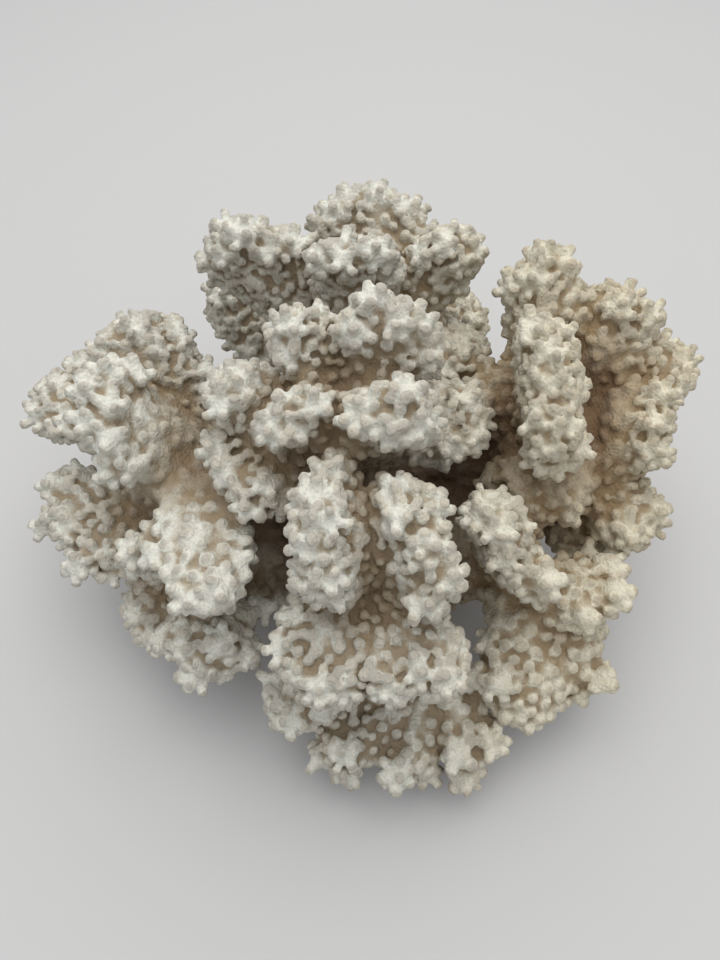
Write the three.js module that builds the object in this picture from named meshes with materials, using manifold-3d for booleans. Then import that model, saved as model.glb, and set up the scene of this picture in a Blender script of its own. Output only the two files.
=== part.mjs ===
// A branching coral colony of the cauliflower kind: a foot that is cut off flat, stems that fork from it,
// and flattened, fan-shaped lobes on every stem. Millimetres, +Z up, origin at the middle of the cut foot,
// and the front is -Y. Every piece is a solid of its own, parted from its neighbours by a fine gap at the fork.
// The surfaces reach to the tips of the small knobs that cover a real colony.
import * as THREE from "three";
import { mergeVertices } from "three/addons/utils/BufferGeometryUtils.js";
import Module from "manifold-3d";

// Driving dimensions. around and along are the facets of a piece, and a higher blunt squares off its ends.
// A pair of numbers from 0 to 1 says where a change begins and ends along the piece's length.
const FORK_GAP = 0.35; // between two pieces that meet at a fork
const FOOT = { radius: 33, height: 30, around: 14, along: 6, blunt: 2.6, ripple: 0.07, ripples: 5 };
const STEM = { radius: 13, knuckle: 17, around: 7, along: 5, blunt: 3, swelling: [0.3, 0.75] };
const LOBE = { neck: 8.5, around: 8, along: 6, blunt: 2.8, fanning: [0.1, 0.8] };
const FINGER = { count: 2.4, depth: 2.2, rising: [0.5, 0.95] }; // the blunt fingers of a lobe's crown
const BEND = { alongStem: 0.2, towardsTip: 0.3 }; // how a lobe leaves its stem, as shares of its length

// Each stem runs from inside the foot to its fork, where its head swells into a knuckle.
const STEMS = [
  { name: "stem_top", root: [0, 2, 14], fork: [-2, -6, 58] },
  { name: "stem_front", root: [0, -6, 12], fork: [2, -32, 46] },
  { name: "stem_front_low", root: [4, -12, 10], fork: [14, -42, 20] },
  { name: "stem_front_right", root: [10, -8, 12], fork: [36, -26, 38] },
  { name: "stem_left", root: [-8, 0, 13], fork: [-40, 2, 46] },
  { name: "stem_left_low", root: [-10, -6, 11], fork: [-40, -24, 28] },
  { name: "stem_back", root: [-2, 10, 13], fork: [0, 32, 52] },
  { name: "stem_back_low", root: [0, 12, 10], fork: [2, 40, 24] },
  { name: "stem_right", root: [10, 4, 13], fork: [46, 8, 46] },
];

// Each lobe: the stem it forks from, the middle of its crown, its width and thickness there, the direction of
// its width seen from above (0 is +X, 90 is +Y) and how far that direction leans up, in degrees.
const LOBES = [
  ["lobe_top_left", "stem_top", [-17, 0, 102], 17, 13, 20, 0],
  ["lobe_top_right", "stem_top", [11, 0, 104], 28, 16, 5, 0],
  ["lobe_top_front_left", "stem_top", [-18, -22, 93], 24, 16, 30, 0],
  ["lobe_top_front_right", "stem_top", [9, -26, 98], 26, 17, 0, 0],
  ["lobe_top_side", "stem_top", [-36, -8, 87], 24, 16, 70, 0],
  ["lobe_inner_right", "stem_top", [31, -6, 73], 26, 17, -30, 0],
  ["lobe_middle_left", "stem_front", [-10, -41, 88], 38, 16, -90, -30],
  ["lobe_middle_right", "stem_front", [15, -45, 84], 36, 17, -60, -25],
  ["lobe_inner_left", "stem_top", [-36, -23, 71], 36, 15, -65, 0],
  ["lobe_front_middle", "stem_front", [-13, -68, 50], 31, 17, -10, 0],
  ["lobe_front_broad", "stem_front", [15, -70, 54], 28, 15, 10, 0],
  ["lobe_front_left", "stem_left", [-31, -55, 62], 30, 14, -5, 0],
  ["lobe_front_left_side", "stem_left_low", [-48, -32, 61], 24, 17, 50, 0],
  ["lobe_left_under", "stem_left_low", [-84, -6, 47], 30, 16, 90, 0],
  ["lobe_left_front", "stem_left_low", [-74, -22, 44], 24, 17, 110, 0],
  ["lobe_low_left", "stem_left_low", [-61, -40, 24], 28, 17, -50, 0],
  ["lobe_low_front_left", "stem_left_low", [-34, -56, 36], 28, 17, -25, 0],
  ["lobe_left_broad", "stem_left", [-62, -14, 83], 37, 16, 90, 0],
  ["lobe_left_inner", "stem_left", [-51, -22, 54], 34, 20, 20, 0],
  ["lobe_left_upper", "stem_left", [-60, 25, 76], 30, 15, 50, 0],
  ["lobe_left_far", "stem_left", [-87, 10, 60], 26, 15, 90, 0],
  ["lobe_left_corner", "stem_left", [-79, 24, 60], 20, 15, 60, 0],
  ["lobe_front_small", "stem_front_low", [-25, -64, 28], 21, 16, 0, 0],
  ["lobe_front_hanging_left", "stem_front_low", [-9, -75, 18], 20, 16, 0, 0],
  ["lobe_front_hanging_right", "stem_front_low", [11, -79, 15], 18, 16, 0, 0],
  ["lobe_front_corner", "stem_front_low", [32, -75, 15], 20, 17, 20, 0],
  ["lobe_low_front_right", "stem_front_right", [43, -66, 21], 29, 17, 20, 0],
  ["lobe_low_right", "stem_front_right", [61, -56, 22], 20, 15, 45, 0],
  ["lobe_side_front_right", "stem_front_right", [62, -45, 42], 22, 17, 50, 0],
  ["lobe_notch_upper", "stem_front_right", [27, -37, 77], 19, 14, -80, -20],
  ["lobe_notch_lower", "stem_front_right", [38, -45, 64], 20, 15, -60, -20],
  ["lobe_right_ridge", "stem_right", [40, -13, 92], 43, 19, -85, -20],
  ["lobe_right_back", "stem_right", [45, 31, 91], 27, 21, 0, 0],
  ["lobe_right_upper", "stem_right", [68, 25, 85], 32, 22, -20, 0],
  ["lobe_right_far", "stem_right", [87, 14, 71], 28, 18, -60, 0],
  ["lobe_right_broad", "stem_right", [78, -8, 69], 33, 23, -80, 0],
  ["lobe_right_low", "stem_right", [73, -26, 47], 28, 17, 70, 0],
  ["lobe_right_inner", "stem_right", [44, -27, 58], 32, 22, 20, 0],
  ["lobe_right_root", "stem_right", [33, 12, 70], 32, 18, 40, 0],
  ["lobe_right_under", "stem_right", [68, -23, 29], 30, 16, 40, 0],
  ["lobe_back_left", "stem_back", [-38, 38, 92], 35, 16, -10, 0],
  ["lobe_back_front", "stem_back", [-2, 26, 99], 30, 16, 0, 0],
  ["lobe_back_tall", "stem_back", [6, 58, 92], 37, 17, 0, 0],
  ["lobe_back_right", "stem_back", [30, 40, 88], 24, 16, 10, 0],
  ["lobe_back_inner", "stem_back", [33, 20, 64], 32, 17, 10, 0],
  ["lobe_rear_left", "stem_back_low", [-46, 56, 60], 34, 16, 30, 0],
  ["lobe_rear_middle", "stem_back_low", [-4, 70, 42], 32, 16, 0, 0],
  ["lobe_rear_right", "stem_back_low", [38, 62, 48], 32, 16, -30, 0],
  ["lobe_rear_far_left", "stem_left", [-68, 44, 38], 28, 16, 50, 0],
  ["lobe_rear_far_right", "stem_right", [72, 42, 42], 30, 16, -50, 0],
];

const wasm = await Module();
wasm.setup();

const vector = (xyz) => new THREE.Vector3(...xyz);
const { lerp, smoothstep, degToRad } = THREE.MathUtils;

// A closed three.js geometry as a solid that can be joined and cut.
function solid(geometry) {
  geometry.deleteAttribute("normal");
  geometry.deleteAttribute("uv");
  const merged = mergeVertices(geometry, 1e-3);
  const vertProperties = merged.getAttribute("position").array;
  const triVerts = new Uint32Array(merged.getIndex().array);
  return new wasm.Manifold(new wasm.Mesh({ numProp: 3, vertProperties, triVerts }));
}

// A closed skin round a curve: a sphere whose poles are the two ends of the curve. across is the direction of
// its width, and sizes(s, side) gives its half width, its half thickness and how far it is pushed on along the
// curve, at the share s of the curve's length and at a side from -1 to 1 across the width.
function skin({ curve, across, around, along, sizes }, grow) {
  const geometry = new THREE.SphereGeometry(1, around, along);
  const points = geometry.getAttribute("position");
  for (let i = 0; i < points.count; i++) {
    const [x, y, z] = [points.getX(i), points.getY(i), points.getZ(i)];
    const ring = Math.max(Math.hypot(x, z), 1e-9);
    const s = (1 - y) / 2;
    const tangent = curve.getTangent(s);
    const wide = across.clone().addScaledVector(tangent, -across.dot(tangent)).normalize();
    const thin = tangent.clone().cross(wide);
    const [halfWidth, halfThickness, push] = sizes(s, x / ring);
    const open = ring > 1e-6 ? 1 : 0;
    const point = curve
      .getPoint(s)
      .addScaledVector(tangent, push - y * grow)
      .addScaledVector(wide, open * (x / ring) * (halfWidth + grow))
      .addScaledVector(thin, open * (z / ring) * (halfThickness + grow));
    points.setXYZ(i, point.x, point.y, point.z);
  }
  return solid(geometry);
}

// From 0 at both ends of a curve to 1 in between, blunter with a higher power.
const bulge = (s, power) => (1 - Math.abs(2 * s - 1) ** power) ** (1 / power);

// The foot: a low mound with a rippled outline. It reaches below the cut, where it is sawn off flat.
function foot() {
  const curve = new THREE.LineCurve3(vector([0, 0, -FOOT.height]), vector([0, 0, FOOT.height]));
  const sizes = (s, side) => {
    const ripple = 1 + FOOT.ripple * Math.cos(FOOT.ripples * Math.acos(side));
    const radius = FOOT.radius * ripple * bulge(s, FOOT.blunt);
    return [radius, radius, 0];
  };
  return { curve, across: vector([1, 0, 0]), around: FOOT.around, along: FOOT.along, sizes };
}

// A stem: a round limb that swells into a knuckle at its fork.
function stem({ root, fork }) {
  const curve = new THREE.LineCurve3(vector(root), vector(fork));
  const sizes = (s) => {
    const radius = bulge(s, STEM.blunt) * lerp(STEM.radius, STEM.knuckle, smoothstep(s, ...STEM.swelling));
    return [radius, radius, 0];
  };
  return { curve, across: vector([0.6, 0.8, 0]), around: STEM.around, along: STEM.along, sizes };
}

// A lobe: a narrow neck that fans out to a wide, flattened crown with a few blunt fingers.
function lobe([, stemName, tip, width, thickness, spread, lean]) {
  const { root, fork } = STEMS.find(({ name }) => name === stemName);
  const from = vector(fork);
  const reach = vector(tip).sub(from);
  const stemWay = from.clone().sub(vector(root)).normalize();
  const control = from
    .clone()
    .addScaledVector(stemWay, BEND.alongStem * reach.length())
    .addScaledVector(reach, BEND.towardsTip);
  const curve = new THREE.QuadraticBezierCurve3(from, control, vector(tip));
  const [turn, rise] = [degToRad(spread), degToRad(lean)];
  const across = vector([Math.cos(turn) * Math.cos(rise), Math.sin(turn) * Math.cos(rise), Math.sin(rise)]);
  const sizes = (s, side) => {
    const fan = smoothstep(s, ...LOBE.fanning);
    const end = bulge(s, LOBE.blunt);
    const finger = FINGER.depth * Math.cos(FINGER.count * Math.PI * side) * smoothstep(s, ...FINGER.rising);
    return [end * lerp(LOBE.neck, width / 2, fan), end * lerp(LOBE.neck, thickness / 2, fan), finger * end];
  };
  return { curve, across, around: LOBE.around, along: LOBE.along, sizes };
}

// What lies below the cut of the foot.
function belowCut() {
  const depth = 2 * FOOT.height;
  const block = new THREE.BoxGeometry(4 * FOOT.radius, 4 * FOOT.radius, depth);
  return solid(block.translate(0, 0, -depth / 2));
}

// Leaves out what the earlier pieces take up, with the gap, and keeps the main body of what is left.
function fitted(shape, taken) {
  let body = skin(shape, 0);
  for (const other of taken) body = body.subtract(other);
  return body.decompose().reduce((most, part) => (part.volume() > most.volume() ? part : most));
}

function meshOf(name, body, material) {
  const { vertProperties, triVerts } = body.getMesh();
  const geometry = new THREE.BufferGeometry();
  geometry.setAttribute("position", new THREE.BufferAttribute(vertProperties, 3));
  geometry.setIndex(new THREE.BufferAttribute(triVerts, 1));
  geometry.computeVertexNormals();
  const mesh = new THREE.Mesh(geometry, material);
  mesh.name = name;
  return mesh;
}

const skeleton = (color) => new THREE.MeshStandardMaterial({ color, roughness: 0.9, metalness: 0 });
const footColour = skeleton("#8d7a66");
const stemColour = skeleton("#a39483");
const lobeColour = skeleton("#c9c0b4");

const pieces = [
  { name: "base", shape: foot(), material: footColour },
  ...STEMS.map((row) => ({ name: row.name, shape: stem(row), material: stemColour })),
  ...LOBES.map((row) => ({ name: row[0], shape: lobe(row), material: lobeColour })),
];

const colony = new THREE.Group();
colony.name = "branching_coral";
const taken = [belowCut()];
for (const { name, shape, material } of pieces) {
  colony.add(meshOf(name, fitted(shape, taken), material));
  taken.push(skin(shape, FORK_GAP));
}

export default colony;
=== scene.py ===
"""A branching coral colony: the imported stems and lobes, grown into knobbly skeleton.

Every CAD node is replaced by one visual piece. The pieces share one field: the nodes' solids are joined,
drawn in to leave room for the knobs, and cut up again along hidden seams, and each piece grows its own knobs.
Lengths in the field code are millimetres, and the meshes are in metres.
"""
import math

import bpy
import numpy as np
import openvdb
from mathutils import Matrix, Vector, kdtree


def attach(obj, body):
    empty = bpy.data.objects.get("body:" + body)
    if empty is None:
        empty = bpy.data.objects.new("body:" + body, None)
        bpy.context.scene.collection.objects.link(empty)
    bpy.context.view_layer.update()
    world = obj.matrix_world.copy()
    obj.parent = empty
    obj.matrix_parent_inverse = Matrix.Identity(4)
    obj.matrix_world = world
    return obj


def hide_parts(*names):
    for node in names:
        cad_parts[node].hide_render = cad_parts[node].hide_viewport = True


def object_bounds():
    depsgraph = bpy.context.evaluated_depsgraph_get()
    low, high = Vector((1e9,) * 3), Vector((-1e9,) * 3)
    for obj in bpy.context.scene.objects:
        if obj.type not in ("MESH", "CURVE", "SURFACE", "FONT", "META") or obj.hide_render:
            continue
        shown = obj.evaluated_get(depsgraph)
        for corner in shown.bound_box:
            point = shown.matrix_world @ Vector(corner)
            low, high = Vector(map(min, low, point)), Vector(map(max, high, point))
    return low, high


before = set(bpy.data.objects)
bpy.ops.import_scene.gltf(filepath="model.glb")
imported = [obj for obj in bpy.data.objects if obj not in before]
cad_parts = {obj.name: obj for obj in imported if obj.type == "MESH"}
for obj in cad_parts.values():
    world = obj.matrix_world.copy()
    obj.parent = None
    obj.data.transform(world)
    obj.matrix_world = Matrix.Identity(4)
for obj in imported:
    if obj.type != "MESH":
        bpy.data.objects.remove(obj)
CAD_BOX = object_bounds()

MM = 0.001
rng = np.random.default_rng(7)

# The field
VOXEL = 0.7
ADAPTIVITY = 0.24  # how far flat parts of the mesh are simplified, from 0 to 1
MARGIN = 9.0  # empty space kept round the colony
BAND = 7.0  # how far from a surface its distances are exact
FORK_FILL = (5.0, 2.4)  # gaps narrower than twice this are closed, near the foot and out at the crowns
FILL_REACHES = (50.0, 74.0)  # how far from the middle of the foot the one gives way to the other
KNOB_ROOM = 2.0  # how far the core lies inside the solids
SOFTENING = 1.1  # the radius of the blur that rounds the core
SWAYS = ((1.2, 12.0), (0.8, 6.5))  # height and length of each layer of the core's unevenness
FOOT_MIDDLE = 12.0  # how high the middle of the foot lies, which the colony grows away from
FOOT_REACH = 12.0  # how far the foot is carried on below its cut, so the cut stays flat

# The share of solid round a place, which tells rims from faces, heads from valleys, and outside from inside
RIM_RADIUS = 3.5
SHELTER_RADIUS = 11.0
CROWD_RADIUS = 2.2
RIM_SHARE = (0.26, 0.18)  # at most this on a thin rim, and this much more on a broad face
DEPTH_SHARE = (0.32, 0.2)  # at most this on the colony's outside, and this much more deep between the lobes

# The lobules: bulges along the crowns of the lobes, which the knobs then cover
LOBULE_SPACING = 5.2
LOBULE_RADIUS = (2.1, 3.3)
LOBULE_HEIGHT = (0.8, 4.2)
LOBULE_STRAY = 0.2  # how far their directions wander
LOBULE_OPENNESS = 0.55  # they grow where the core is at least this open
LOBULE_BLEND = 0.8

# The knobs: stubby, with a flattened head that is a little wider than the neck
KNOB_SPACING = (2.3, 2.6)  # on rims and on broad faces
KNOB_RADIUS = (1.05, 1.5)
KNOB_HEIGHT = (2.2, 2.8)  # of the head above the core, on broad faces and on rims
KNOB_UNEVENNESS = (0.75, 1.1)  # the least and the most of that height that a knob reaches
KNOB_NECK = 0.95  # its girth at the root against the head
KNOB_EDGE = 0.75  # how far the rim of the head is rounded
ROUND_HEADS = 0.2  # pieces whose knobs are larger than usual by this share have fully round heads
KNOB_ROOT = 1.5  # how deep it reaches into the core
KNOB_THINNING = 1.5  # how much sparser they are deep inside the colony
KNOB_SINKING = 0.6  # how high they are there, against the outside
KNOB_LEAN = 0.4  # towards the outside of the colony
KNOB_STRAY = 0.12  # how far their directions wander
KNOB_BLEND = 0.28
PLAIN_FOOT = 4.0  # no knobs grow lower than this

# How pieces grow: how sparse the knobs of their broad faces are, how large all their knobs are, how far the
# knobs of their faces stand out, and how far their lobules reach
PLAIN = (1.0, 1.0, 1.0, 1.0)
SMOOTH_PLATE = (1.15, 1.25, 0.85, 1.3)
BROAD_FACE = (1.2, 1.2, 0.7, 1.0)
FINGERED = (1.0, 1.1, 1.0, 1.6)
COARSE = (1.0, 1.3, 1.0, 1.5)
GROWTH = {
    "lobe_front_left": SMOOTH_PLATE,
    "lobe_left_broad": BROAD_FACE,
    "lobe_left_front": FINGERED,
    "lobe_left_under": FINGERED,
    "lobe_front_left_side": FINGERED,
    "lobe_low_front_left": FINGERED,
    "lobe_front_small": FINGERED,
    "lobe_front_hanging_left": FINGERED,
    "lobe_front_hanging_right": FINGERED,
    "lobe_front_corner": COARSE,
    "lobe_low_front_right": COARSE,
    "lobe_low_right": COARSE,
    "lobe_side_front_right": COARSE,
    "lobe_notch_lower": COARSE,
}

# How far round a knob its blend is worked out, in radii and in blends
KNOB_REACH = (1.15, 5.0)
BLEND_LIMITS = (-8.0, 9.0)  # distances are held between these, so that blending can't overflow

# The seams between pieces, which run under the neighbour's surface
SEAM_SLOPE = 0.35
SEAM_REACH = 1.6

# The grain of the surface, as (height, length) of each layer of noise
GRAIN = ((0.35, 2.8), (0.22, 1.5))
GRAIN_DEPTHS = (2.0, 1.5)  # it starts this far inside the core, and is full this much further out


# ---------------------------------------------------------------- fields on one grid of voxels

class Grid:
    """The voxels that hold the whole colony, as an origin and a shape."""

    def __init__(self, low, high, voxel):
        self.voxel = voxel
        self.first = np.floor((low - MARGIN) / voxel).astype(int)
        self.shape = tuple(np.ceil((high + MARGIN) / voxel).astype(int) - self.first)
        self.transform = openvdb.createLinearTransform(voxelSize=voxel)

    def window(self, low, high, room):
        """The first voxel and the shape of the part of the grid round a box."""
        first = np.floor((low - room) / self.voxel).astype(int) - self.first
        last = np.ceil((high + room) / self.voxel).astype(int) - self.first + 1
        first = np.clip(first, 0, self.shape)
        last = np.clip(last, 0, self.shape)
        return first, tuple(last - first)

    def slices(self, first, shape):
        return tuple(slice(a, a + n) for a, n in zip(first, shape))

    def axes(self, first, shape):
        """The places of a window's voxels along x, y and z, ready to broadcast."""
        steps = [(np.arange(n) + a + f) * self.voxel for n, a, f in zip(shape, first, self.first)]
        x, y, z = [s.astype(np.float32) for s in steps]
        return x[:, None, None], y[None, :, None], z[None, None, :]

    def distances(self, points, faces, first, shape, band=BAND):
        """Signed distances to a closed mesh in a window, limited to the band."""
        width = band / self.voxel
        triangles = faces if faces.shape[1] == 3 else None
        quads = faces if faces.shape[1] == 4 else None
        places = points.astype(np.float32)
        level = openvdb.FloatGrid.createLevelSetFromPolygons(
            places, triangles=triangles, quads=quads, transform=self.transform, halfWidth=width
        )
        values = np.zeros(shape, np.float32)
        level.copyToArray(values, ijk=tuple(int(a) for a in self.first + first))
        return values

    def surface(self, values, first, adaptivity=0.0):
        """The closed mesh where a window's values cross zero."""
        outside = float(values.max())
        level = openvdb.FloatGrid(outside)
        level.transform = self.transform
        level.copyFromArray(values, ijk=tuple(int(a) for a in self.first + first), tolerance=0.0)
        return level.convertToPolygons(isovalue=0.0, adaptivity=adaptivity)

    def sample(self, values, points, first=0, step=1):
        """Trilinear values, at points, of a window's array that holds every step-th voxel."""
        place = (points / self.voxel - (self.first + first)) / step
        low = np.clip(np.floor(place).astype(int), 0, np.array(values.shape) - 2)
        share = np.clip(place - low, 0, 1).astype(np.float32)
        total = np.zeros(len(points), np.float32)
        for corner in np.ndindex(2, 2, 2):
            weight = np.ones(len(points), np.float32)
            for axis in range(3):
                weight *= share[:, axis] if corner[axis] else 1 - share[:, axis]
            i, j, k = (low + corner).T
            total += weight * values[i, j, k]
        return total


def between(low, high, share):
    return low + (high - low) * np.clip(share, 0, 1)


def blurred(values, radius, voxel):
    """A Gaussian blur, one axis at a time."""
    reach = max(1, math.ceil(2.5 * radius / voxel))
    offsets = np.arange(-reach, reach + 1)
    weights = np.exp(-0.5 * (offsets * voxel / radius) ** 2)
    weights /= weights.sum()
    for axis in range(3):
        edges = [(0, 0)] * 3
        edges[axis] = (reach, reach)
        padded = np.pad(values, edges, mode="edge")
        length = values.shape[axis]
        total = np.zeros_like(values)
        for offset, weight in zip(offsets, weights):
            window = [slice(None)] * 3
            window[axis] = slice(reach + offset, reach + offset + length)
            total += np.float32(weight) * padded[tuple(window)]
        values = total
    return values


def smooth_noise(shape, cell):
    """Noise between about -1 and 1 that changes over `cell` voxels, by cosine steps between random values."""
    size = [int(n / cell) + 3 for n in shape]
    values = rng.uniform(-1, 1, size).astype(np.float32)
    for axis, n in enumerate(shape):
        place = np.arange(n) / cell
        low = place.astype(int)
        share = ((1 - np.cos(np.pi * (place - low))) / 2).astype(np.float32)
        span = [1, 1, 1]
        span[axis] = n
        share = share.reshape(span)
        values = np.take(values, low, axis) * (1 - share) + np.take(values, low + 1, axis) * share
    return values


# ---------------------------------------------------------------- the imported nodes

def mesh_arrays(obj):
    """A CAD node's vertices in millimetres and its triangles."""
    mesh = obj.data
    points = np.empty(len(mesh.vertices) * 3, np.float32)
    mesh.vertices.foreach_get("co", points)
    mesh.calc_loop_triangles()
    faces = np.empty(len(mesh.loop_triangles) * 3, np.int32)
    mesh.loop_triangles.foreach_get("vertices", faces)
    return points.reshape(-1, 3) / MM, faces.reshape(-1, 3).astype(np.uint32)


low, high = (np.array(corner) / MM for corner in CAD_BOX)
grid = Grid(low, high, VOXEL)
whole = (np.zeros(3, int), grid.shape)

solids = {}
for name, obj in sorted(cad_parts.items()):
    points, faces = mesh_arrays(obj)
    if name == "base":
        points[points[:, 2] < 0.01, 2] -= FOOT_REACH
    first, shape = grid.window(points.min(0), points.max(0), BAND)
    solids[name] = (first, shape, grid.distances(points, faces, first, shape))


def two_nearest():
    """Everywhere, the distance to the nearest node, to the second nearest, and the nearest node's number."""
    nearest = np.full(grid.shape, BAND, np.float32)
    second = np.full(grid.shape, BAND, np.float32)
    owner = np.full(grid.shape, -1, np.int8)
    for number, (first, shape, distance) in enumerate(solids.values()):
        here = grid.slices(first, shape)
        second[here] = np.minimum(second[here], np.maximum(nearest[here], distance))
        owner[here][distance < nearest[here]] = number
        nearest[here] = np.minimum(nearest[here], distance)
    return nearest, second, owner


def make_core():
    """The joined solids with their forks closed, drawn in by the room for the knobs, softened and swayed."""
    near, far = FILL_REACHES
    x, y, z = grid.axes(*whole)
    reach = np.sqrt(x * x + y * y + (z - FOOT_MIDDLE) ** 2)
    fill = between(*FORK_FILL, (reach - near) / (far - near))
    points, _, quads = grid.surface(nearest - fill, whole[0])
    closed = grid.distances(points, quads, *whole, band=BAND + max(FORK_FILL))
    core = blurred(closed + fill + KNOB_ROOM, SOFTENING, VOXEL)
    return core + layered_noise(SWAYS)


def layered_noise(layers):
    return sum(height * smooth_noise(grid.shape, length / VOXEL) for height, length in layers)


def share_of_solid(field, radius):
    """How much of the space round each place is solid, on every second voxel."""
    solid = np.clip(0.5 - field[::2, ::2, ::2] / (2 * VOXEL), 0, 1)
    return blurred(solid, radius, 2 * VOXEL)


# ---------------------------------------------------------------- the knobs

def scattered(points, spacing):
    """Numbers of points in random order, each at least its own spacing from the later ones."""
    tree = kdtree.KDTree(len(points))
    for number, point in enumerate(points):
        tree.insert(point, number)
    tree.balance()
    free = np.ones(len(points), bool)
    chosen = []
    for number in rng.permutation(len(points)):
        if free[number]:
            chosen.append(number)
            free[[found[1] for found in tree.find_range(points[number], spacing[number])]] = False
    return np.array(chosen)


def slopes(points):
    """The core's outward direction at points."""
    step = np.eye(3) * VOXEL
    rises = [grid.sample(core, points + d) - grid.sample(core, points - d) for d in step]
    normal = np.stack(rises, 1)
    return normal / np.maximum(np.linalg.norm(normal, axis=1, keepdims=True), 1e-6)


def openness(points):
    """From 0 on broad faces and in crevices to 1 on thin rims."""
    return between(1, 0, (grid.sample(rim, points, step=2) - RIM_SHARE[0]) / RIM_SHARE[1])


def depth(points):
    """From 0 on the outside of the colony to 1 deep between its lobes."""
    return between(0, 1, (grid.sample(shelter, points, step=2) - DEPTH_SHARE[0]) / DEPTH_SHARE[1])


def owners(points):
    """The number of the node that each point belongs to."""
    place = np.round(points / VOXEL).astype(int) - grid.first
    return owner[tuple(place.T)]


def outward(points):
    """Away from the middle of the colony's foot."""
    way = points - np.array([0, 0, FOOT_MIDDLE])
    return way / np.linalg.norm(way, axis=1, keepdims=True)


def leaning(points, lean, spread):
    """Directions to grow in: along the surface's slope, leaning outwards, and a little astray."""
    way = slopes(points) + lean * outward(points) + rng.normal(0, spread, points.shape)
    return way / np.linalg.norm(way, axis=1, keepdims=True)


def growing_places():
    surface = grid.surface(core, whole[0])[0]
    return surface[surface[:, 2] > PLAIN_FOOT]


def growth_of(points):
    """How the pieces grow at points: sparseness, size, relief and branching."""
    table = np.array([GROWTH.get(name, PLAIN) for name in solids])
    return table[owners(points)].T


def grow_lobules():
    """Each lobule as a knob's row with a straight neck and a round head, on thin rims only."""
    surface = growing_places()
    surface = surface[openness(surface) > LOBULE_OPENNESS]
    branching = growth_of(surface)[3]
    chosen = scattered(surface, LOBULE_SPACING * np.sqrt(branching))
    roots, branching = surface[chosen], branching[chosen]
    ways = leaning(roots, KNOB_LEAN, LOBULE_STRAY)
    radii = between(*LOBULE_RADIUS, rng.random(len(roots)))
    heights = branching * between(*LOBULE_HEIGHT, rng.random(len(roots)))
    rows = zip(roots, ways, heights, radii)
    return [(root, way, height, radius, 1.0, radius, 0.0) for root, way, height, radius in rows]


def grow_knobs():
    """Each knob's root, direction, height, radius, neck, edge and tone, by node."""
    surface = growing_places()
    sparse, size, _, _ = growth_of(surface)
    spacing = size * between(KNOB_SPACING[1] * sparse, KNOB_SPACING[0], openness(surface))
    spacing *= between(1, KNOB_THINNING, depth(surface))
    roots = surface[scattered(surface, spacing)]
    count = len(roots)
    _, size, relief, _ = growth_of(roots)
    way = leaning(roots, KNOB_LEAN, KNOB_STRAY)
    radius = size * between(*KNOB_RADIUS, rng.beta(2, 2, count))
    free = openness(roots)
    height = between(KNOB_HEIGHT[0] * relief, KNOB_HEIGHT[1], free) * rng.uniform(*KNOB_UNEVENNESS, count)
    height *= between(1, KNOB_SINKING, depth(roots))
    edge = KNOB_EDGE * between(1, radius / KNOB_EDGE, (size - 1) / ROUND_HEADS)
    tone = rng.random(count)
    node = owners(roots)
    rows = {number: [] for number in range(len(solids))}
    for k in range(count):
        rows[int(node[k])].append((roots[k], way[k], height[k], radius[k], KNOB_NECK, edge[k], tone[k]))
    return rows


def knob_distance(x, y, z, knob):
    """Distance to a stubby knob with a flattened, rounded head, and the share of its height."""
    root, way, height, radius, neck, edge, _ = knob
    rx, ry, rz = x - root[0], y - root[1], z - root[2]
    along = rx * way[0] + ry * way[1] + rz * way[2]
    across = np.sqrt(np.maximum(rx * rx + ry * ry + rz * rz - along * along, 0))
    share = np.clip(along / height, 0, 1)
    side = across - (radius * (neck + (1 - neck) * share) - edge)
    end = np.maximum(along - (height - edge), -KNOB_ROOT - along)
    rounded = np.hypot(np.maximum(side, 0), np.maximum(end, 0)) + np.minimum(np.maximum(side, end), 0) - edge
    return rounded, share


def add_knobs(knobs, first, shape, blend=KNOB_BLEND):
    """The knobs' blended mass, and how near each place is to a head and its tone, in a window."""
    mass, headed, toned = np.zeros((3, *shape), np.float32)
    for knob in knobs:
        root, way, height, radius = knob[:4]
        tip = root + way * height
        room = KNOB_REACH[0] * radius + KNOB_REACH[1] * blend
        corner, size = grid.window(np.minimum(root, tip), np.maximum(root, tip), room)
        low = np.maximum(corner - first, 0)
        high = np.minimum(corner + size - first, shape)
        if (high <= low).any():
            continue
        here = tuple(slice(a, b) for a, b in zip(low, high))
        distance, height_share = knob_distance(*grid.axes(first + low, high - low), knob)
        share = np.exp(-distance / blend)
        mass[here] += share
        headed[here] += share * height_share
        toned[here] += share * knob[-1]
    whole_mass = np.maximum(mass, 1e-6)
    return mass, headed / whole_mass, toned / whole_mass


def joined(body, mass, blend=KNOB_BLEND):
    """A body's distances blended with the mass of its knobs."""
    return -blend * np.log(np.exp(-np.clip(body, *BLEND_LIMITS) / blend) + mass)


nearest, second, owner = two_nearest()
core = make_core()
rim = share_of_solid(core, RIM_RADIUS)  # low on thin rims, a half on broad faces, high in crevices
core = joined(core, add_knobs(grow_lobules(), *whole, LOBULE_BLEND)[0], LOBULE_BLEND)
rim = share_of_solid(core, RIM_RADIUS)  # again, now that the lobules have changed the rims
shelter = share_of_solid(core, SHELTER_RADIUS)  # high deep inside the colony
grain = layered_noise(GRAIN)
knobs = grow_knobs()
colony = joined(core, add_knobs([row for rows in knobs.values() for row in rows], *whole)[0])
crowd = share_of_solid(colony, CROWD_RADIUS)  # low on the knobs' heads, high in the valleys between them


# ---------------------------------------------------------------- the pieces

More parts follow.
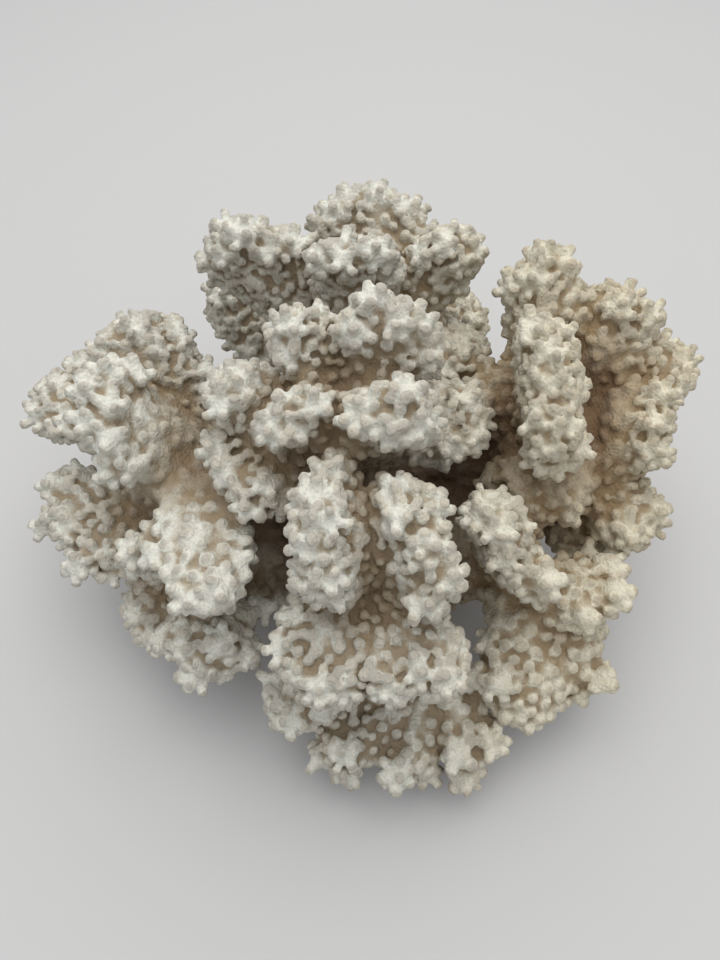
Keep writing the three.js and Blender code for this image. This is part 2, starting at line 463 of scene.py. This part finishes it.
def piece_field(number, first, shape, distance, rows):
    """One piece: its share of the core, which dives under its neighbours at the seams, and its knobs."""
    here = grid.slices(first, shape)
    mine = owner[here] == number
    other = np.where(mine, second[here], nearest[here])
    past = (distance - other) / 2
    part = np.maximum(core[here] + SEAM_SLOPE * np.maximum(past, 0), past - SEAM_REACH)
    mass, head, tone = add_knobs(rows, first, shape)
    above = -grid.axes(first, shape)[2]
    rough = grain[here] * np.clip((core[here] + GRAIN_DEPTHS[0]) / GRAIN_DEPTHS[1], 0, 1)
    return np.maximum(joined(part, mass) + rough, above), head, tone


def main_body(count, faces):
    """True for the vertices of the largest connected part of a mesh, given the faces' rings of vertices."""
    label = np.arange(count)
    a = np.concatenate([ring.reshape(-1) for ring in faces])
    b = np.concatenate([np.roll(ring, -1, axis=1).reshape(-1) for ring in faces])
    while True:
        low = np.minimum(label[a], label[b])
        new = label.copy()
        np.minimum.at(new, a, low)
        np.minimum.at(new, b, low)
        new = new[new]
        if (new == label).all():
            break
        label = new
    values, sizes = np.unique(label, return_counts=True)
    return label == values[sizes.argmax()]


def keep(points, faces, kept):
    """The mesh of the kept vertices only."""
    number = np.cumsum(kept) - 1
    return points[kept], [number[ring[kept[ring].all(axis=1)]] for ring in faces]


def new_piece(name, points, faces):
    """A mesh object in metres with smooth faces. The field's faces wind inwards, so they are turned."""
    loops = np.concatenate([ring[:, ::-1].reshape(-1) for ring in faces])
    sizes = np.concatenate([np.full(len(ring), ring.shape[1]) for ring in faces])
    starts = np.concatenate([[0], np.cumsum(sizes)[:-1]])
    mesh = bpy.data.meshes.new(name)
    mesh.vertices.add(len(points))
    mesh.vertices.foreach_set("co", (points * MM).astype(np.float32).reshape(-1))
    mesh.loops.add(len(loops))
    mesh.loops.foreach_set("vertex_index", loops.astype(np.int32))
    mesh.polygons.add(len(starts))
    mesh.polygons.foreach_set("loop_start", starts.astype(np.int32))
    mesh.update(calc_edges=True)
    mesh.validate()
    mesh.shade_smooth()
    obj = bpy.data.objects.new(name, mesh)
    bpy.context.scene.collection.objects.link(obj)
    return obj


def paint(mesh, name, values):
    """Stores one number a vertex, for the material."""
    mesh.attributes.new(name, "FLOAT", "POINT").data.foreach_set("value", values.astype(np.float32))


def grow_piece(number, name, rows):
    first, shape, distance = solids[name]
    field, head, tone = piece_field(number, first, shape, distance, rows)
    points, *faces = grid.surface(field, first, ADAPTIVITY)
    points, faces = keep(points, faces, main_body(len(points), faces))
    piece = new_piece("coral_" + name, points, faces)
    paint(piece.data, "head", grid.sample(head, points, first))
    paint(piece.data, "shelter", grid.sample(shelter, points, step=2))
    paint(piece.data, "crowd", grid.sample(crowd, points, step=2))
    paint(piece.data, "tone", grid.sample(tone, points, first))
    return piece


# ---------------------------------------------------------------- materials

class Nodes:
    """Adds nodes to a material and links them."""

    def __init__(self, name):
        self.material = bpy.data.materials.new(name)
        self.material.use_nodes = True
        self.tree = self.material.node_tree
        self.shader = self.tree.nodes["Principled BSDF"]

    def add(self, kind, settings=None, **inputs):
        node = self.tree.nodes.new(kind)
        for key, value in (settings or {}).items():
            setattr(node, key, value)
        for key, value in inputs.items():
            self.put(node, key.replace("_", " "), value)
        return node

    def put(self, node, socket, value):
        target = node.inputs[int(socket)] if socket.strip().isdigit() else node.inputs[socket]
        if isinstance(value, bpy.types.NodeSocket):
            self.tree.links.new(value, target)
        else:
            target.default_value = value

    def number(self, name):
        return self.add("ShaderNodeAttribute", {"attribute_name": name}).outputs["Fac"]

    def maths(self, operation, a, b=0.0, c=0.0):
        node = self.add("ShaderNodeMath", {"operation": operation})
        for socket, value in enumerate((a, b, c)):
            self.put(node, str(socket), value)
        return node.outputs[0]

    def span(self, value, low, high, to_low=0.0, to_high=1.0):
        node = self.add("ShaderNodeMapRange", {"interpolation_type": "SMOOTHSTEP"})
        for socket, given in enumerate((value, low, high, to_low, to_high)):
            self.put(node, str(socket), given)
        return node.outputs[0]

    def mix(self, share, a, b, blend="MIX"):
        node = self.add("ShaderNodeMix", {"data_type": "RGBA", "blend_type": blend})
        for socket, value in ((0, share), (6, a), (7, b)):
            self.put(node, str(socket), value)
        return node.outputs[2]


def colour(red, green, blue):
    return (red, green, blue, 1.0)


CHALK = colour(0.68, 0.665, 0.575)  # open ground between the knobs
HEAD_GREY = colour(0.385, 0.355, 0.295)
HEAD_CREAM = colour(0.52, 0.47, 0.375)
# olive: painted shade between knobs and in sheltered places, the darkening by the cut, and the knobs' tiny
# cups
GAP_OLIVE = colour(0.26, 0.185, 0.10)
# brown: painted shade deep between the lobes
DEEP_SHADE_BROWN = colour(0.13, 0.075, 0.045)
WARM = colour(1.0, 0.945, 0.84)  # the tint of the right-hand side


def knob_colour(n, patches, crest):
    """The colour of a knob's head, from cream to grey, greyer in patches and on the colony's crests."""
    greyness = n.maths("ADD", n.maths("MULTIPLY", n.number("tone"), 0.5), n.maths("MULTIPLY", patches, 0.6))
    greyness = n.maths("ADD", greyness, n.maths("MULTIPLY", crest, 0.3))
    return n.mix(n.span(greyness, 0.25, 0.75), HEAD_CREAM, HEAD_GREY)


def open_colour(n, uneven, shelter, patches, grains, cups):
    """Chalky ground, the knobs' heads with tiny dark cups, and scattered darker grains."""
    head = n.span(n.maths("ADD", n.number("head"), uneven), 0.5, 0.86)
    knob = knob_colour(n, patches, n.span(shelter, 0.17, 0.08))
    base = n.mix(n.maths("MULTIPLY", head, 0.85), CHALK, knob)
    cup = n.maths("MULTIPLY", n.span(cups, 0.32, 0.05), n.maths("MULTIPLY", head, 0.55))
    pits = n.mix(cup, base, GAP_OLIVE)
    return n.mix(n.span(grains, 0.36, 0.62, 0.3, 0.0), pits, HEAD_GREY)


def dirtied(n, unshaded, height, uneven, shelter, darkening):
    """Painted shade: olive in the gaps between knobs and in sheltered places, brown deep between the lobes;
    and olive low down by the cut.
    """
    crowd = n.maths("ADD", n.number("crowd"), n.maths("MULTIPLY", uneven, 0.3))
    # painted shade in the valleys between crowded knobs
    gaps = n.mix(n.maths("MULTIPLY", n.span(crowd, 0.45, 0.62), 0.85), unshaded, GAP_OLIVE)
    # painted shade, olive, where the colony closes round a place
    half_shade = n.mix(n.maths("MULTIPLY", n.span(shelter, 0.24, 0.4), 0.65), gaps, GAP_OLIVE)
    # painted shade, brown, deep between the lobes
    deep = n.mix(n.maths("MULTIPLY", n.span(shelter, 0.38, 0.54), darkening), half_shade, DEEP_SHADE_BROWN)
    # darker towards the bottom, by the cut
    return n.mix(n.maths("MULTIPLY", n.span(height, 0.02, 0.002), darkening), deep, GAP_OLIVE)


def skeleton_material(name, darkening):
    """Matt, granular skeleton with painted shade in its gaps and depths, and a little warmer on the right."""
    n = Nodes(name)
    place = n.add("ShaderNodeTexCoord").outputs["Object"]
    patches = n.add("ShaderNodeTexNoise", Vector=place, Scale=28.0, Detail=3.0).outputs["Fac"]
    mottle = n.add("ShaderNodeTexNoise", Vector=place, Scale=330.0, Detail=4.0, Roughness=0.65).outputs["Fac"]
    grains = n.add("ShaderNodeTexNoise", Vector=place, Scale=1500.0, Detail=3.0, Roughness=0.7).outputs["Fac"]
    cups = n.add("ShaderNodeTexVoronoi", Vector=place, Scale=1150.0).outputs["Distance"]
    uneven = n.maths("MULTIPLY", n.maths("SUBTRACT", mottle, 0.5), 0.5)
    shelter = n.maths("ADD", n.number("shelter"), n.maths("MULTIPLY", uneven, 0.15))

    unshaded = open_colour(n, uneven, shelter, patches, grains, cups)
    axes = n.add("ShaderNodeSeparateXYZ", Vector=place).outputs
    # painted shade in the gaps and depths, and darker towards the bottom
    darkened = dirtied(n, unshaded, axes["Z"], uneven, shelter, darkening)
    n.put(n.shader, "Base Color", n.mix(n.span(axes["X"], 0.0, 0.06), darkened, WARM, "MULTIPLY"))

    relief = n.maths("ADD", n.maths("MULTIPLY", cups, 0.6), n.maths("MULTIPLY", grains, 0.6))
    bump = n.add("ShaderNodeBump", Height=relief, Strength=0.8, Distance=0.0007).outputs["Normal"]
    n.put(n.shader, "Normal", bump)
    n.put(n.shader, "Roughness", n.span(mottle, 0.3, 0.7, 0.78, 0.95))
    n.put(n.shader, "Specular IOR Level", 0.25)
    n.put(n.shader, "Subsurface Weight", 0.35)
    n.put(n.shader, "Subsurface Radius", (1.0, 0.85, 0.65))
    n.put(n.shader, "Subsurface Scale", 0.0018)
    return n.material


# the number is the strength of the painted shade deep between the lobes and of the darkening by the cut
MATERIALS = {
    "lobe": skeleton_material("coral_lobe", 0.65),
    "stem": skeleton_material("coral_stem", 0.75),
    "foot": skeleton_material("coral_foot", 0.9),
}


def slot_of(name):
    for slot in ("lobe", "stem"):
        if name.startswith(slot):
            return slot
    return "foot"


for number, name in enumerate(solids):
    piece = grow_piece(number, name, knobs[number])
    piece.data.materials.append(MATERIALS[slot_of(name)])
    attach(piece, "root")
    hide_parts(name)


# ---------------------------------------------------------------- floor, light and camera

def plain_floor():
    mesh = bpy.data.meshes.new("floor")
    reach = 3.0
    corners = [(-reach, -reach, 0), (reach, -reach, 0), (reach, reach, 0), (-reach, reach, 0)]
    mesh.from_pydata(corners, [], [(0, 1, 2, 3)])
    floor = bpy.data.objects.new("floor", mesh)
    bpy.context.scene.collection.objects.link(floor)
    n = Nodes("floor")
    n.put(n.shader, "Base Color", colour(0.5, 0.49, 0.47))
    n.put(n.shader, "Roughness", 0.9)
    mesh.materials.append(n.material)


def lamp(name, place, size, power, tint):
    data = bpy.data.lights.new(name, "AREA")
    data.size = size
    data.energy = power
    data.color = tint
    obj = bpy.data.objects.new(name, data)
    obj.location = place
    obj.rotation_euler = (Vector((0, 0, 0.05)) - Vector(place)).to_track_quat("-Z", "Y").to_euler()
    bpy.context.scene.collection.objects.link(obj)


def camera():
    """Looks down at the colony from the front, close enough for strong perspective."""
    data = bpy.data.cameras.new("camera")
    data.lens = 28.5
    data.sensor_width = 36.0
    data.clip_start = 0.01
    obj = bpy.data.objects.new("camera", data)
    obj.location = (0, -0.125, 0.215)
    obj.rotation_euler = (math.radians(35), 0, 0)
    bpy.context.scene.collection.objects.link(obj)
    bpy.context.scene.camera = obj


def sky():
    world = bpy.data.worlds.new("world")
    world.use_nodes = True
    background = world.node_tree.nodes["Background"]
    background.inputs["Color"].default_value = colour(0.9, 0.93, 1.0)
    background.inputs["Strength"].default_value = 0.74
    bpy.context.scene.world = world


plain_floor()
lamp("key", (0.05, 0.32, 0.8), 0.9, 3.9, (1.0, 0.99, 0.965))
lamp("fill", (0.0, -0.08, 0.6), 0.5, 1.35, (0.97, 0.98, 1.0))
camera()
sky()
bpy.context.scene.view_settings.view_transform = "Standard"
